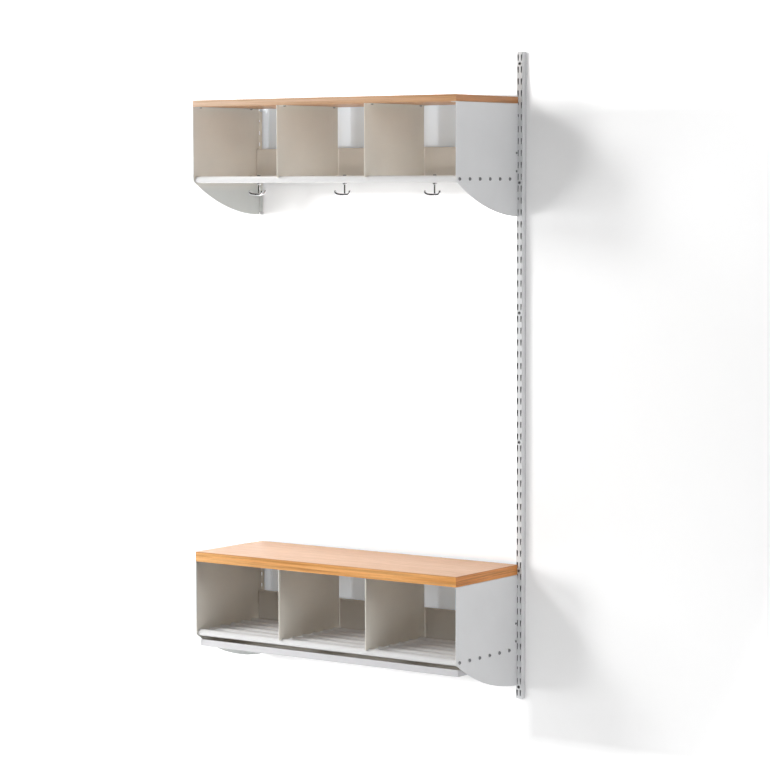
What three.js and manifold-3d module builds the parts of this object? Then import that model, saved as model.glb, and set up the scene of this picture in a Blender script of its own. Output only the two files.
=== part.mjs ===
import * as THREE from "three";
import { mergeVertices } from "three/addons/utils/BufferGeometryUtils.js";
import Module from "manifold-3d";

// A wall-hung cloakroom bay: a slotted upright carries a hat shelf and a shoe bench.
// Lengths are millimetres. X runs along the wall, Y into the wall and Z up.
// The origin is on the wall, at the middle of the upright's lower end.

// Sheet metal and clearances
const sheet = 1.5;
const clearance = 0.3;
const cutOverrun = 1;

// Slotted upright, a channel open towards the wall with lips that lie on it
const slotPitch = 32;
const slotRows = 55;
const uprightWidth = 19;
const uprightDepth = 18;
const uprightLip = 5;
const firstSlotDrop = 7.6;
const slotLength = 16.8;
const slotHeadWidth = 4.4;
const slotFootWidth = 2.6;
const slotHeadCentre = 5.4;
const slotFootCentre = 5;
const slotHeadShare = 0.35;
const wallHoleRows = [0, 10, 21, 32, 43, 53];
const wallHoleRadius = 3.2;
const wallHoleSides = 8;

// Bay and the rows of slots that the two units hang on
const bayWidth = 900;
const gablePlaneInset = 5.2;
const shelfHangRow = 4;
const benchHangRow = 44;

// Gable, a side sheet whose lower edge is an arc that would reach its lowest point on the wall
const gableDepth = 297;
const gableLowestBelowAxis = 101.5;
const gableFrontBelowAxis = 4.3;
const gableArcSteps = 14;
const gableTopFlange = 20;
const gableRearFlange = 12;
const flangeEndInset = 8;
const flangeSlotInset = 2.2;
const flangeSlotWidth = 2.6;
const flangeSlotHeight = 9;

// Hook tabs on the gable's rear edge
const tabToTop = 13.6;
const tabHeight = 9;
const tabThickness = 3;
const tabHookDrop = 5;

// Tubes of the slatted floors and their end screws
const tubeCount = 6;
const tubeFirstDepth = 16;
const tubeLastInset = 41;
const tubeDrop = 203;
const tubeRadius = 9.5;
const tubeWall = 1.5;
const tubeSides = 14;
const tubePlugLength = 14;
const screwRadius = 3;
const screwLength = 14;
const screwHeadRadius = 5;
const screwHeadHeight = 3;
const screwSocketRadius = 2;
const screwSocketDepth = 1.6;
const screwSides = 8;
const domeShoulderShare = 0.75;
const domeRiseShare = 0.65;

// Boards
const shelfBoardThickness = 18;
const benchBoardThickness = 28;
const boardEdge = 0.8;

// Dividers, which stand over the tubes
const compartments = 3;
const dividerRearInset = 18;
const dividerFlange = 18;
const dividerAboveAxis = 5.5;

// Low back panel with flanges turned towards the wall
const panelFrontInset = 14;
const panelAboveAxis = 88;
const panelBelowAxis = 6;

// Drip tray under the bench and its two runners
const trayFrontDepth = 15.5;
const trayRearInset = 22;
const trayHeight = 19;
const trayBelowAxis = 20;
const traySheet = 1.2;
const traySideGap = 2.4;
const trayLip = 8;
const runnerFrontInset = 54.5;
const runnerRearInset = 5;
const runnerLeg = 14;
const runnerHeight = 16;

// Three-armed coat hooks, each on a bolt through the hook tube
const hookCount = 3;
const hookSpacing = 300;
const hookTubeIndex = 2;
const hookArms = 3;
const hookTurns = [26, 36, 36];
const boltRadius = 2.5;
const boltHeadRadius = 5;
const boltHeadHeight = 3;
const boltSides = 10;
const collarRadius = 6;
const collarHeight = 4.5;
const collarBoreDepth = 3.8;
const collarSides = 12;
const stemRadius = 2.6;
const armRadius = 2.5;
const armReach = 26.4;
const armAxisDrop = 41.5;
const armTipDrop = 32.5;
const armTipRadius = 3;
const armSides = 8;
const armSteps = 6;
const tipSides = 8;
const tipRings = 4;
const stemFootRadius = 3.6;
const armStartShare = 0.62;
const armEndShare = 0.1;

// Values worked out from the sizes above
const uprightLength = slotPitch * slotRows;
const gableRearY = -uprightDepth - clearance;
const frontY = gableRearY - gableDepth;
const rightPlaneX = -gablePlaneInset;
const leftPlaneX = gablePlaneInset - bayWidth;
const rightOuterX = rightPlaneX + sheet / 2;
const leftOuterX = leftPlaneX - sheet / 2;
const rightInnerX = rightPlaneX - sheet / 2;
const leftInnerX = leftPlaneX + sheet / 2;
const innerWidth = rightInnerX - leftInnerX;
const gableArcRun = gableDepth + clearance + uprightDepth;
const gableArcRise = gableLowestBelowAxis - gableFrontBelowAxis;
const gableArcRadius = (gableArcRise ** 2 + gableArcRun ** 2) / (gableArcRise * 2);
const gableRearHeight = gableEdgeDrop(gableDepth);
const lowestTabRow = Math.floor((gableRearHeight - tabToTop - tabHeight) / slotPitch);
const tabRows = [0, 1, lowestTabRow];
const tubeLastDepth = gableDepth - tubeLastInset;
const tubePitch = (tubeLastDepth - tubeFirstDepth) / (tubeCount - 1);
const dividerDepth = gableDepth - dividerRearInset;
const panelFrontDepth = gableDepth - panelFrontInset;
const trayRearDepth = gableDepth - trayRearInset;
const runnerFrontDepth = trayFrontDepth + runnerFrontInset;
const runnerRearDepth = trayRearDepth - runnerRearInset;
const middleX = (rightPlaneX + leftPlaneX) / 2;
const slotStep = slotLength * slotHeadShare;
const screwHoleRadius = screwRadius + clearance;
const boltHoleRadius = boltRadius + clearance;

// Paint, wood and plated steel
const paintWhite = { color: 0xe6e4e1, roughness: 0.5, metalness: 0 };
const tubeWhite = { color: 0xf0efee, roughness: 0.4, metalness: 0 };
const beechBoard = { color: 0xd9a878, roughness: 0.45, metalness: 0 };
const chromePlate = { color: 0xc9cbcd, roughness: 0.15, metalness: 1 };
const zincPlate = { color: 0xa9abae, roughness: 0.35, metalness: 1 };

const wasm = await Module();
wasm.setup();

const locker = new THREE.Group();

// Height of the lower end of the slots in a row, counted from the top of the upright.
function slotFootZ(row) {
  return uprightLength - firstSlotDrop - slotLength - row * slotPitch;
}

// Height of the top edge of a gable that hangs on a row.
function gableTopZ(row) {
  return slotFootZ(row) + tabToTop;
}

// Distance of a tube's axis behind the front edge.
function tubeDepth(index) {
  return tubeFirstDepth + index * tubePitch;
}

// A closed geometry as a solid that can be cut and joined.
function solidOf(geometry) {
  const plain = new THREE.BufferGeometry();
  const loose = geometry.index ? geometry.toNonIndexed() : geometry;
  plain.setAttribute("position", loose.getAttribute("position"));
  const merged = mergeVertices(plain);
  const vertProperties = merged.attributes.position.array;
  const triVerts = new Uint32Array(merged.index.array);
  return new wasm.Manifold(new wasm.Mesh({ numProp: 3, vertProperties, triVerts }));
}

// A solid as a geometry that a mesh can show.
function geometryOf(solid) {
  const mesh = solid.getMesh();
  const geometry = new THREE.BufferGeometry();
  geometry.setAttribute("position", new THREE.BufferAttribute(mesh.vertProperties, 3));
  geometry.setIndex(new THREE.BufferAttribute(mesh.triVerts, 1));
  geometry.computeVertexNormals();
  return geometry;
}

function joined(solids) {
  return solids.reduce((whole, piece) => whole.add(piece));
}

function cutFrom(body, cutters) {
  return cutters.reduce((left, cutter) => left.subtract(cutter), body);
}

// A named mesh in the group.
function place(name, geometry, finish, position = [0, 0, 0]) {
  const mesh = new THREE.Mesh(geometry, new THREE.MeshStandardMaterial(finish));
  mesh.name = name;
  mesh.position.set(...position);
  locker.add(mesh);
  return mesh;
}

// A block between two corners, given in any order.
function block([xa, ya, za], [xb, yb, zb]) {
  const size = [Math.abs(xb - xa), Math.abs(yb - ya), Math.abs(zb - za)];
  const geometry = new THREE.BoxGeometry(...size);
  geometry.translate((xa + xb) / 2, (ya + yb) / 2, (za + zb) / 2);
  return solidOf(geometry);
}

// A round bar along X, Y or Z, from its middle.
function bar(axis, radius, length, sides, [x, y, z]) {
  const geometry = new THREE.CylinderGeometry(radius, radius, length, sides);
  if (axis === "x") geometry.rotateZ(Math.PI / 2);
  if (axis === "z") geometry.rotateX(Math.PI / 2);
  geometry.translate(x, y, z);
  return solidOf(geometry);
}

// A flat sheet in the plane of Y and Z, drawn as points of depth and height.
function sideSheet(points, thickness, x) {
  const shape = new THREE.Shape(points.map(([depth, height]) => new THREE.Vector2(depth, height)));
  const geometry = new THREE.ExtrudeGeometry(shape, { depth: thickness, bevelEnabled: false });
  const turn = new THREE.Matrix4().makeBasis(
    new THREE.Vector3(0, 1, 0),
    new THREE.Vector3(0, 0, 1),
    new THREE.Vector3(1, 0, 0),
  );
  geometry.applyMatrix4(turn);
  geometry.translate(x, 0, 0);
  return solidOf(geometry);
}

// One hook slot in the plane of X and Z, wide at its head and narrow at its foot.
function slotCutter(side, footZ) {
  const headZ = footZ + slotLength;
  const shoulderZ = headZ - slotStep;
  const points = [
    [side * (slotFootCentre - slotFootWidth / 2), footZ],
    [side * (slotFootCentre + slotFootWidth / 2), footZ],
    [side * (slotHeadCentre + slotHeadWidth / 2), shoulderZ],
    [side * (slotHeadCentre + slotHeadWidth / 2), headZ],
    [side * (slotHeadCentre - slotHeadWidth / 2), headZ],
    [side * (slotHeadCentre - slotHeadWidth / 2), shoulderZ],
  ];
  const shape = new THREE.Shape(points.map(([x, z]) => new THREE.Vector2(x, z)));
  const depth = sheet + cutOverrun + cutOverrun;
  const geometry = new THREE.ExtrudeGeometry(shape, { depth, bevelEnabled: false });
  geometry.rotateX(Math.PI / 2);
  geometry.translate(0, cutOverrun + sheet - uprightDepth, 0);
  return solidOf(geometry);
}

function makeUpright() {
  const side = uprightWidth / 2;
  const half = [
    [side - sheet, sheet - uprightDepth],
    [side - sheet, -sheet],
    [side - uprightLip, -sheet],
    [side - uprightLip, 0],
    [side, 0],
    [side, -uprightDepth],
  ];
  const mirrored = half.map(([x, y]) => [-x, y]).reverse();
  const points = [...half, ...mirrored].map(([x, y]) => new THREE.Vector2(x, y));
  const channel = new THREE.ExtrudeGeometry(new THREE.Shape(points), {
    depth: uprightLength,
    bevelEnabled: false,
  });
  const cutters = [];
  for (let row = 0; row < slotRows; row += 1) {
    cutters.push(slotCutter(1, slotFootZ(row)));
    cutters.push(slotCutter(-1, slotFootZ(row)));
  }
  const spacer = (slotPitch - slotLength) / 2;
  for (const row of wallHoleRows) {
    const length = sheet + cutOverrun + cutOverrun;
    const centre = [0, sheet / 2 - uprightDepth, slotFootZ(row) - spacer];
    cutters.push(bar("y", wallHoleRadius, length, wallHoleSides, centre));
  }
  place("upright", geometryOf(cutFrom(solidOf(channel), [joined(cutters)])), paintWhite);
}

// Height of the gable's curved lower edge below its top edge.
function gableEdgeDrop(depth) {
  const run = gableArcRun - depth;
  const lowest = tubeDrop + gableLowestBelowAxis;
  return lowest - gableArcRadius + Math.sqrt(gableArcRadius ** 2 - run ** 2);
}

// The gable's outline, with the tabs that hook into the upright.
function gableOutline() {
  const points = [
    [0, 0],
    [gableDepth, 0],
  ];
  const webGap = clearance + sheet + clearance;
  for (const row of tabRows) {
    const foot = clearance - tabToTop - row * slotPitch;
    points.push([gableDepth, foot + tabHeight]);
    points.push([gableDepth + webGap + tabThickness, foot + tabHeight]);
    points.push([gableDepth + webGap + tabThickness, foot - tabHookDrop]);
    points.push([gableDepth + webGap, foot - tabHookDrop]);
    points.push([gableDepth + webGap, foot]);
    points.push([gableDepth, foot]);
  }
  for (let step = gableArcSteps; step >= 0; step -= 1) {
    const depth = (gableDepth * step) / gableArcSteps;
    points.push([depth, -gableEdgeDrop(depth)]);
  }
  return points.reverse();
}

// A gable: inward is 1 for the left one, whose flanges turn towards positive X, and -1 for the right.
function makeGable(name, outerX, inward, topZ) {
  const innerX = outerX + inward * sheet;
  const plate = sideSheet(gableOutline(), sheet, Math.min(outerX, innerX));
  const topFlange = block(
    [outerX + (inward * sheet) / 2, flangeEndInset, -sheet],
    [innerX + inward * gableTopFlange, gableDepth - flangeEndInset, 0],
  );
  const rearFlange = block(
    [outerX + (inward * sheet) / 2, gableDepth - sheet, flangeEndInset - gableRearHeight],
    [innerX + inward * gableRearFlange, gableDepth, -flangeEndInset],
  );
  const cutters = [];
  for (let index = 0; index < tubeCount; index += 1) {
    const centre = [outerX, tubeDepth(index), -tubeDrop];
    const length = (sheet + cutOverrun) * 2;
    cutters.push(bar("x", screwHoleRadius, length, screwSides, centre));
  }
  for (let row = 1; row < lowestTabRow; row += 1) {
    const centreX = innerX + inward * flangeSlotInset;
    const centreZ = slotLength / 2 - tabToTop - row * slotPitch;
    const halfWidth = flangeSlotWidth / 2;
    const halfHeight = flangeSlotHeight / 2;
    cutters.push(
      block(
        [centreX - halfWidth, gableDepth - sheet - cutOverrun, centreZ - halfHeight],
        [centreX + halfWidth, gableDepth + cutOverrun, centreZ + halfHeight],
      ),
    );
  }
  const gable = cutFrom(joined([plate, topFlange, rearFlange]), cutters);
  place(name, geometryOf(gable), paintWhite, [0, frontY, topZ]);
}

// A board that covers a unit from gable to gable, with lightly broken edges.
function makeBoard(name, thickness, underZ) {
  const width = rightOuterX - leftOuterX - boardEdge * 2;
  const depth = gableDepth - boardEdge * 2;
  const shape = new THREE.Shape([
    new THREE.Vector2(0, 0),
    new THREE.Vector2(width, 0),
    new THREE.Vector2(width, depth),
    new THREE.Vector2(0, depth),
  ]);
  const geometry = new THREE.ExtrudeGeometry(shape, {
    depth: thickness - boardEdge * 2,
    bevelSize: boardEdge,
    bevelThickness: boardEdge,
    bevelSegments: 1,
  });
  geometry.translate(leftOuterX + boardEdge, boardEdge, boardEdge);
  place(name, geometryOf(solidOf(geometry)), beechBoard, [0, frontY, underZ]);
}

// A divider with a flange under the board and saddles over the tubes.
function makeDivider(name, x, topZ) {
  const footZ = dividerAboveAxis - tubeDrop;
  const plate = block([x - sheet / 2, 0, footZ], [x + sheet / 2, dividerDepth, 0]);
  const flange = block(
    [x, flangeEndInset, -sheet],
    [x + sheet / 2 + dividerFlange, dividerDepth - flangeEndInset, 0],
  );
  const cutters = [];
  for (let index = 0; index < tubeCount; index += 1) {
    const centre = [x, tubeDepth(index), -tubeDrop];
    const length = sheet + cutOverrun + cutOverrun;
    cutters.push(bar("x", tubeRadius + clearance, length, tubeSides, centre));
  }
  const divider = cutFrom(joined([plate, flange]), cutters);
  place(name, geometryOf(divider), paintWhite, [0, frontY, topZ]);
}

// The low back panel, a shallow pan that opens towards the wall.
function makeBackPanel(name, topZ) {
  const left = leftInnerX + clearance;
  const right = rightInnerX - clearance;
  const rear = gableDepth - sheet - clearance;
  const low = -tubeDrop - panelBelowAxis;
  const high = panelAboveAxis - tubeDrop;
  const pan = block([left, panelFrontDepth, low], [right, rear, high]);
  const hollow = block(
    [left + sheet, panelFrontDepth + sheet, low + sheet],
    [right - sheet, rear + cutOverrun, high - sheet],
  );
  place(name, geometryOf(pan.subtract(hollow)), paintWhite, [0, frontY, topZ]);
}

// A tube with a bored plug in each end. Its middle is the origin and it runs along X.
function tubeSolid() {
  const length = innerWidth - clearance * 2;
  const end = length / 2;
  const bore = tubeRadius - tubeWall;
  const profile = [
    [screwHoleRadius, -end],
    [tubeRadius, -end],
    [tubeRadius, end],
    [screwHoleRadius, end],
    [screwHoleRadius, end - tubePlugLength],
    [bore, end - tubePlugLength],
    [bore, tubePlugLength - end],
    [screwHoleRadius, tubePlugLength - end],
    [screwHoleRadius, -end],
  ];
  const points = profile.map(([radius, along]) => new THREE.Vector2(radius, along));
  const geometry = new THREE.LatheGeometry(points, tubeSides);
  geometry.rotateZ(-Math.PI / 2);
  return solidOf(geometry);
}

function hookX(index) {
  return middleX + (index - (hookCount - 1) / 2) * hookSpacing;
}

function makeTubes(unit, axisZ, hookHoles) {
  for (let index = 0; index < tubeCount; index += 1) {
    const cutters = [];
    if (hookHoles && index === hookTubeIndex) {
      for (let hook = 0; hook < hookCount; hook += 1) {
        const length = (tubeRadius + cutOverrun) * 2;
        const centre = [hookX(hook) - middleX, 0, 0];
        cutters.push(bar("z", boltHoleRadius, length, boltSides, centre));
      }
    }
    const position = [middleX, frontY + tubeDepth(index), axisZ];
    const geometry = geometryOf(cutFrom(tubeSolid(), cutters));
    place(`${unit}_tube_${index + 1}`, geometry, tubeWhite, position);
  }
}

// A round-head socket screw along Z: its seat is at zero and its shank runs down.
function screwGeometry() {
  const socketFloor = screwHeadHeight - screwSocketDepth;
  const profile = [
    [0, -screwLength],
    [screwRadius, -screwLength],
    [screwRadius, 0],
    [screwHeadRadius, 0],
    [screwHeadRadius * domeShoulderShare, screwHeadHeight],
    [screwSocketRadius, screwHeadHeight],
    [screwSocketRadius, socketFloor],
    [0, socketFloor],
  ];
  const points = profile.map(([radius, along]) => new THREE.Vector2(radius, along));
  const geometry = new THREE.LatheGeometry(points, screwSides);
  geometry.rotateX(Math.PI / 2);
  return geometryOf(solidOf(geometry));
}

function makeTubeScrews(unit, axisZ) {
  const sides = [
    { side: "left", x: leftOuterX - clearance, turn: -Math.PI / 2 },
    { side: "right", x: rightOuterX + clearance, turn: Math.PI / 2 },
  ];
  for (const { side, x, turn } of sides) {
    for (let index = 0; index < tubeCount; index += 1) {
      const position = [x, frontY + tubeDepth(index), axisZ];
      const name = `${unit}_screw_${side}_${index + 1}`;
      place(name, screwGeometry(), zincPlate, position).rotation.y = turn;
    }
  }
}

// The drip tray, open on top, with a lip along its front to pull it by.
function makeTray(axisZ) {
  const left = leftInnerX + traySideGap;
  const right = rightInnerX - traySideGap;
  const low = -trayBelowAxis - trayHeight;
  const high = -trayBelowAxis;
  const outside = block([left, trayFrontDepth, low], [right, trayRearDepth, high]);
  const inside = block(
    [left + traySheet, trayFrontDepth + traySheet, low + traySheet],
    [right - traySheet, trayRearDepth - traySheet, high + cutOverrun],
  );
  const lip = block(
    [left + traySheet / 2, trayFrontDepth + traySheet / 2, high - traySheet],
    [right - traySheet / 2, trayFrontDepth + trayLip, high],
  );
  const tray = joined([outside.subtract(inside), lip]);
  place("drip_tray", geometryOf(tray), paintWhite, [0, frontY, axisZ]);
}

function makeRunner(name, innerX, inward, axisZ) {
  const wallX = innerX + inward * clearance;
  const seat = -trayBelowAxis - trayHeight - clearance;
  const leg = block(
    [wallX, runnerFrontDepth, seat - sheet],
    [wallX + inward * runnerLeg, runnerRearDepth, seat],
  );
  const web = block(
    [wallX, runnerFrontDepth, seat - sheet],
    [wallX + inward * sheet, runnerRearDepth, seat - sheet + runnerHeight],
  );
  place(name, geometryOf(leg.add(web)), paintWhite, [0, frontY, axisZ]);
}

// One hook: a collar under the tube, a stem and three arms that turn up at their tips.
function hookSolid() {
  const top = -tubeRadius - clearance;
  const pieces = [
    bar("z", collarRadius, collarHeight, collarSides, [0, 0, top - collarHeight / 2]),
  ];
  const stemTop = top - collarHeight / 2 - collarBoreDepth / 2 - clearance;
  const stemLength = stemTop + armAxisDrop;
  pieces.push(bar("z", stemRadius, stemLength, armSides, [0, 0, stemTop - stemLength / 2]));
  const foot = new THREE.SphereGeometry(stemFootRadius, tipSides, tipRings);
  foot.rotateX(Math.PI / 2);
  foot.translate(0, 0, -armAxisDrop);
  pieces.push(solidOf(foot));
  const section = new THREE.Shape();
  section.absarc(0, 0, armRadius, 0, Math.PI * 2);
  const rise = armAxisDrop - armTipDrop;
  const path = new THREE.CubicBezierCurve3(
    new THREE.Vector3(0, 0, -armAxisDrop),
    new THREE.Vector3(armReach * armStartShare, 0, -armAxisDrop),
    new THREE.Vector3(armReach, 0, -armAxisDrop + rise * armEndShare),
    new THREE.Vector3(armReach, 0, -armTipDrop),
  );
  for (let arm = 0; arm < hookArms; arm += 1) {
    const turn = (Math.PI * 2 * arm) / hookArms;
    const rod = new THREE.ExtrudeGeometry(section, {
      steps: armSteps,
      curveSegments: armSides / 2,
      extrudePath: path,
    });
    rod.rotateZ(turn);
    pieces.push(solidOf(rod));
    const tip = new THREE.SphereGeometry(armTipRadius, tipSides, tipRings);
    tip.rotateX(Math.PI / 2);
    tip.translate(armReach, 0, -armTipDrop);
    tip.rotateZ(turn);
    pieces.push(solidOf(tip));
  }
  const bore = bar("z", boltHoleRadius, collarBoreDepth * 2, boltSides, [0, 0, top]);
  return joined(pieces).subtract(bore);
}

// The bolt on the hook tube: a domed head on top and a shank down into the collar.
function hookBoltGeometry() {
  const seat = tubeRadius + clearance;
  const foot = -tubeRadius - collarBoreDepth;
  const profile = [
    [0, foot],
    [boltRadius, foot],
    [boltRadius, seat],
    [boltHeadRadius, seat],
    [boltHeadRadius * domeShoulderShare, seat + boltHeadHeight * domeRiseShare],
    [0, seat + boltHeadHeight],
  ];
  const points = profile.map(([radius, along]) => new THREE.Vector2(radius, along));
  const geometry = new THREE.LatheGeometry(points, boltSides);
  geometry.rotateX(Math.PI / 2);
  return geometryOf(solidOf(geometry));
}

function makeHooks(axisZ) {
  hookTurns.forEach((degrees, index) => {
    const position = [hookX(index), frontY + tubeDepth(hookTubeIndex), axisZ];
    const hook = place(`coat_hook_${index + 1}`, geometryOf(hookSolid()), chromePlate, position);
    hook.rotation.z = THREE.MathUtils.degToRad(degrees) + Math.PI;
    place(`hook_bolt_${index + 1}`, hookBoltGeometry(), chromePlate, position);
  });
}

function makeUnit(unit, hangRow, boardThickness, hookHoles) {
  const topZ = gableTopZ(hangRow);
  const axisZ = topZ - tubeDrop;
  makeBoard(`${unit}_board`, boardThickness, topZ + clearance);
  makeGable(`${unit}_gable_left`, leftOuterX, 1, topZ);
  makeGable(`${unit}_gable_right`, rightOuterX, -1, topZ);
  const bay = (rightPlaneX - leftPlaneX) / compartments;
  makeDivider(`${unit}_divider_left`, leftPlaneX + bay, topZ);
  makeDivider(`${unit}_divider_right`, rightPlaneX - bay, topZ);
  makeBackPanel(`${unit}_back_panel`, topZ);
  makeTubes(unit, axisZ, hookHoles);
  makeTubeScrews(unit, axisZ);
  return axisZ;
}

makeUpright();
makeHooks(makeUnit("shelf", shelfHangRow, shelfBoardThickness, true));
const benchAxisZ = makeUnit("bench", benchHangRow, benchBoardThickness, false);
makeTray(benchAxisZ);
makeRunner("tray_runner_left", leftInnerX, 1, benchAxisZ);
makeRunner("tray_runner_right", rightInnerX, -1, benchAxisZ);

export default locker;
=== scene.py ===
import math

import bmesh
import bpy
from mathutils import Matrix, Vector


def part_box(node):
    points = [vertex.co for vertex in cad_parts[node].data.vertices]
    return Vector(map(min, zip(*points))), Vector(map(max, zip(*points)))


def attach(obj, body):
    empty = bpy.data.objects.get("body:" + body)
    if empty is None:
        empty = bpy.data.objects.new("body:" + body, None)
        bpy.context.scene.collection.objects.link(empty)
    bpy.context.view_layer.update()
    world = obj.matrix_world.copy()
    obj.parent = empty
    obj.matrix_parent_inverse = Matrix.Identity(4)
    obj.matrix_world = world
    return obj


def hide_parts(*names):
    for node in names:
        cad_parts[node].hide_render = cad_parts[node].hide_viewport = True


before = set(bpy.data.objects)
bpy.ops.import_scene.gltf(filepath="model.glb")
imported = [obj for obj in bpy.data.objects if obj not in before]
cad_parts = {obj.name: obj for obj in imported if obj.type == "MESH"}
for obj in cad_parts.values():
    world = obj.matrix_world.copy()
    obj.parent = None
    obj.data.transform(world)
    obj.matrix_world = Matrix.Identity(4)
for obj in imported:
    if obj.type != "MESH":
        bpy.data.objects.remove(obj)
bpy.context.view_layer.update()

# Lengths of the object are written in millimetres and multiplied by MM
MM = 0.001

# Up, to the right along the wall, and into the wall
UP = Vector((0, 0, 1))
RIGHT = Vector((1, 0, 0))
BACK = Vector((0, 1, 0))

# Sheet metal. Edges sharper than BEVEL_ANGLE degrees are softened, and what lies deeper than SKIN
# counts as the inside of a sheet
SHEET = 1.5 * MM
TRAY_SHEET = 1.2 * MM
BEND_RADIUS = 2.0 * MM
BEND_STEPS = 5
SHEET_EDGE = 0.2 * MM
BEVEL_ANGLE = 50
FACE_WEIGHT = 100
WELD = 0.005 * MM
SKIN = SHEET * 0.9

# Slotted upright
SLOT_PITCH = 32 * MM
SLOT_ROWS = 55
FIRST_SLOT_DROP = 7.6 * MM
SLOT_LENGTH = 16.8 * MM
SLOT_HEAD_WIDTH = 4.4 * MM
SLOT_FOOT_WIDTH = 2.6 * MM
SLOT_HEAD_CENTRE = 5.4 * MM
SLOT_FOOT_CENTRE = 5 * MM
SLOT_HEAD_SHARE = 0.35
UPRIGHT_LIP = 5 * MM
WALL_HOLE_ROWS = (0, 10, 21, 32, 43, 53)
WALL_HOLE_RADIUS = 3.2 * MM
SLOT_MARGIN = 2 * MM
UPRIGHT_BEND = 1.6 * MM
SLOT_EDGE = 0.12 * MM
DIMPLE_RADIUS = 3.4 * MM
DIMPLE_FLOOR = 2.9 * MM
DIMPLE_DEPTH = 0.5 * MM
ROUND_STEPS = 20

# Gables
GABLE_DEPTH = 297 * MM
GABLE_LOWEST = 101.5 * MM
GABLE_FRONT = 4.3 * MM
GABLE_TOP_FLANGE = 20 * MM
GABLE_REAR_FLANGE = 12 * MM
FLANGE_INSET = 8 * MM
FLANGE_SLOT_INSET = 2.2 * MM
FLANGE_SLOT_WIDTH = 2.6 * MM
FLANGE_SLOT_HEIGHT = 9 * MM
ARC_STEPS = 48
TAB_DROP = 13.3 * MM
TAB_HEIGHT = 9 * MM
TAB_REACH = 2.1 * MM
TAB_THICKNESS = 3 * MM
TAB_HOOK = 5 * MM
TAB_ROWS = (0, 1, 8)
TAB_RELIEF = 1.5 * MM

# Tubes and their places in the gable
TUBE_RADIUS = 9.5 * MM
TUBE_DROP = 203 * MM
TUBE_COUNT = 6
TUBE_FIRST = 16 * MM
TUBE_PITCH = 48 * MM
TUBE_SIDES = 48
TUBE_EDGE = 0.5 * MM
TUBE_EDGE_STEP = 0.3 * TUBE_EDGE
SCREW_HOLE = 3.3 * MM

# Dividers
DIVIDER_FLANGE = 18.75 * MM
DIVIDER_ABOVE_AXIS = 5.5 * MM
SADDLE_RADIUS = 9.8 * MM
SADDLE_STEPS = 12

# Boards
BOARD_EDGE = 0.8 * MM
BOARD_EDGE_STEPS = 3
BOARD_EDGE_PROFILE = 0.6

# Screws: head radius, head height, shank radius, shank length, socket radius
TUBE_SCREW = (5 * MM, 3 * MM, 3 * MM, 13 * MM, 1.9 * MM)
PANEL_SCREW = (3.4 * MM, 1.8 * MM, 1.5 * MM, 5 * MM, 1.3 * MM)
BOARD_SCREW = (3.8 * MM, 2.2 * MM, 1.8 * MM, 11 * MM, 1.4 * MM)
HOOK_BOLT = (5 * MM, 3 * MM, 2.5 * MM, 22 * MM, 1.5 * MM)
WALL_SCREW = (4.3 * MM, 1.6 * MM, 2.2 * MM, 14 * MM, 1.8 * MM)
PANEL_SCREW_HEIGHTS = (70 * MM, 21 * MM)
PANEL_SCREW_REAR = 8 * MM
BOARD_SCREW_DEPTHS = (23 * MM, 250 * MM)
BOARD_SCREW_INSET = 10.5 * MM
SCREW_PLAY = 0.3 * MM
WALL_SCREW_PLAY = 0.1 * MM
SCREW_SIDES = 32
SHANK_CHAMFER = 0.2
SOCKET_SIDES = 6

# The cutter of a socket, centred on the head's top, is this many heads tall
SOCKET_CUT = 1.3

# The flat top of a screw's head as a share of its radius
CROWN = 0.55
WALL_SCREW_CROWN = 0.2
CROWN_STEPS = 5

# Coat hooks
STEM_RADIUS = 2.6 * MM
ARM_HEIGHT = 5.6 * MM
ARM_WIDTH = 4.0 * MM
BAR_SIDES = 24
BAR_STEPS = 24
BAR_POWER = 4
ARM_REACH = 26.4 * MM
ARM_DROP = 41.5 * MM
TIP_DROP = 32.5 * MM
TIP_RADIUS = 3.0 * MM
FOOT_RADIUS = 3.6 * MM
COLLAR_RADIUS = 6 * MM
COLLAR_HEIGHT = 4.5 * MM
HOOK_TURNS = (26, 36, 36)
HOOK_ARMS = 3

# Where an arm leaves its level stretch, as a share of its reach, and how much of its rise comes
# before the upturn; how deep in the collar the stem starts, as a share of the collar
ARM_FLAT = 0.62
ARM_LIFT = 0.1
STEM_START = 0.6
TANGENT_STEP = 0.01
STEM_SIDES = 32
BALL_SIDES = 24
BALL_RINGS = 16
COLLAR_EDGE = 0.5 * MM
COLLAR_SIDES = 40
BLEND_SIZE = 0.45 * MM
RELAX_FACTOR = 0.5
RELAX_STEPS = 6

# Edges sharper than these many degrees stay crisp in smooth shading
CRISP_ANGLE = 40
HOOK_CRISP_ANGLE = 50

# The camera stands where the photograph was taken from; its angles are in degrees
CAMERA_PLACE = (4.1020, -6.3374, 1.4057)
CAMERA_YAW = 35.758
CAMERA_PITCH = 4.138
CAMERA_ROLL = -0.100
CAMERA_LENS = 129.971
CAMERA_SENSOR = 36
CAMERA_RANGE = 60

# Studio lamps: azimuth from straight ahead, distance along the floor, height, height of what it
# aims at, width in metres, power in watts, and whether mirrors show it
LAMPS = (
    (-45, 3.98, 3.20, 0.90, 1.3, 84.5, False),
    (-30, 4.60, 0.90, 0.90, 1.3, 67.0, False),
    (-75, 3.25, 4.15, 0.90, 1.3, 48.5, True),
    (-50, 2.50, 1.20, 1.10, 0.8, 15.0, False),
    (0, 4.60, 0.90, 0.90, 1.3, 18.5, False),
    (22, 3.50, 1.40, 1.10, 0.8, 15.0, False),
    (60, 2.20, 2.00, 1.10, 0.8, 7.0, False),
    (45, 2.05, -0.42, 1.45, 1.0, 6.0, False),
    (85, 3.49, 0.60, 0.90, 0.9, 11.5, False),
)
LAMP_CENTRE = Vector((-0.45, -0.15, 0))
ROOM_LIGHT = 0.03

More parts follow.
